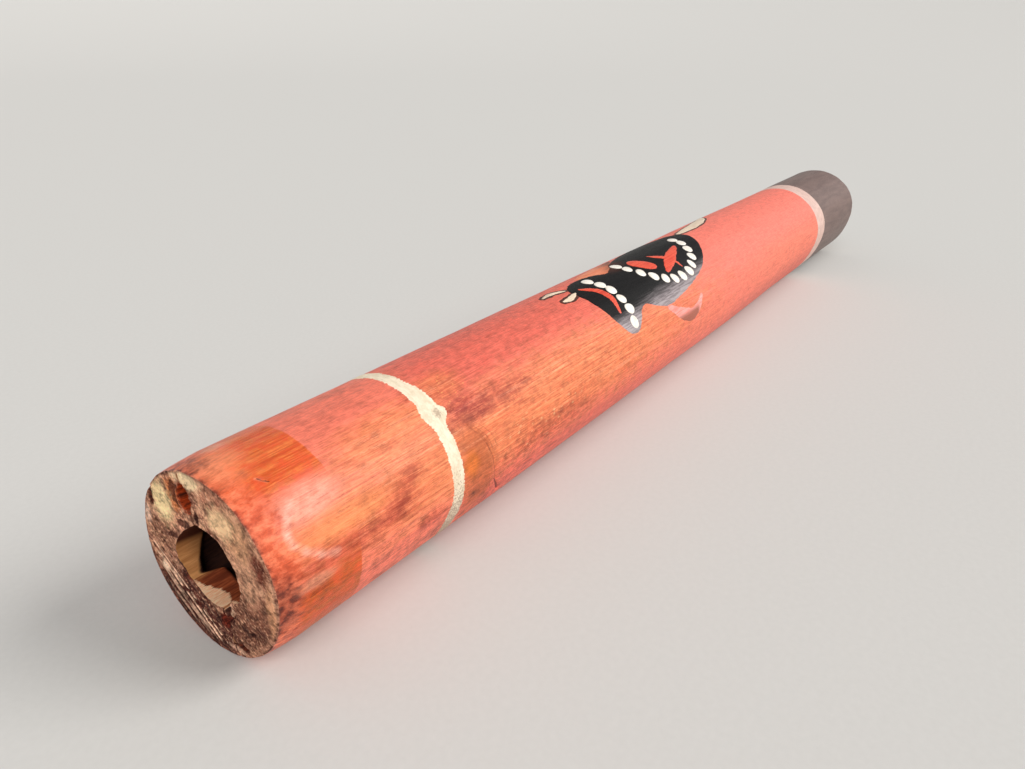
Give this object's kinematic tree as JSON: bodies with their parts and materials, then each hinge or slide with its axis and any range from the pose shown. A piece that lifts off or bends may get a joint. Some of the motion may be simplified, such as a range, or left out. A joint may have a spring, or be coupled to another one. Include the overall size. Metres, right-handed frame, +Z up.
{
  "type": "didgeridoo",
  "caption": "Short wooden didgeridoo made of two gouged half-shells glued lengthwise, stained salmon pink, with painted bands and a dot-painted animal.",
  "frame": {"origin": "centre of the bottom of the tube's box, where it lies on a floor", "axes": "+X along the tube from the mouth end to the bell end, +Z up; the painted animal is on the top and the -Y side"},
  "size_m": [0.52, 0.0584, 0.0582],
  "materials": {
    "stained_wood_near": "satin salmon wash over wood grain, clear-coated orange wood at the mouth end",
    "stained_wood_far": "satin salmon wash over wood grain, bare gouged wood inside",
    "glue": "dried wood glue",
    "filler": "dried filler, rough",
    "cream_band_paint": "hand-brushed paint, matt",
    "grey_brown_paint": "hand-brushed paint, satin",
    "black_paint": "hand-brushed paint with a grey sheen",
    "white_dot_paint": "thick raised dots of paint",
    "red_orange_paint": "hand-brushed paint",
    "brown_paint": "thin brushed paint",
    "cream_figure_paint": "hand-brushed paint",
    "dark_brown_paint": "thin brushed lines",
    "pink_brown_paint": "thin brushed paint"
  },
  "bodies": {
    "root": {"near_half_shell": "stained_wood_near", "far_half_shell": "stained_wood_far", "upper_glue_line": "glue", "lower_glue_line": "glue", "joint_filler": "filler", "mouth_band": "cream_band_paint", "bell_band": "cream_band_paint", "bell_end_paint": "grey_brown_paint", "figure_body": "black_paint", "figure_dots": "white_dot_paint", "figure_red_marks": "red_orange_paint", "figure_back_patch": "brown_paint", "figure_ears": "cream_figure_paint", "figure_ear_outlines": "dark_brown_paint", "figure_limb": "pink_brown_paint", "figure_tail": "cream_figure_paint", "figure_tail_outline": "dark_brown_paint"}
  },
  "joints": []
}
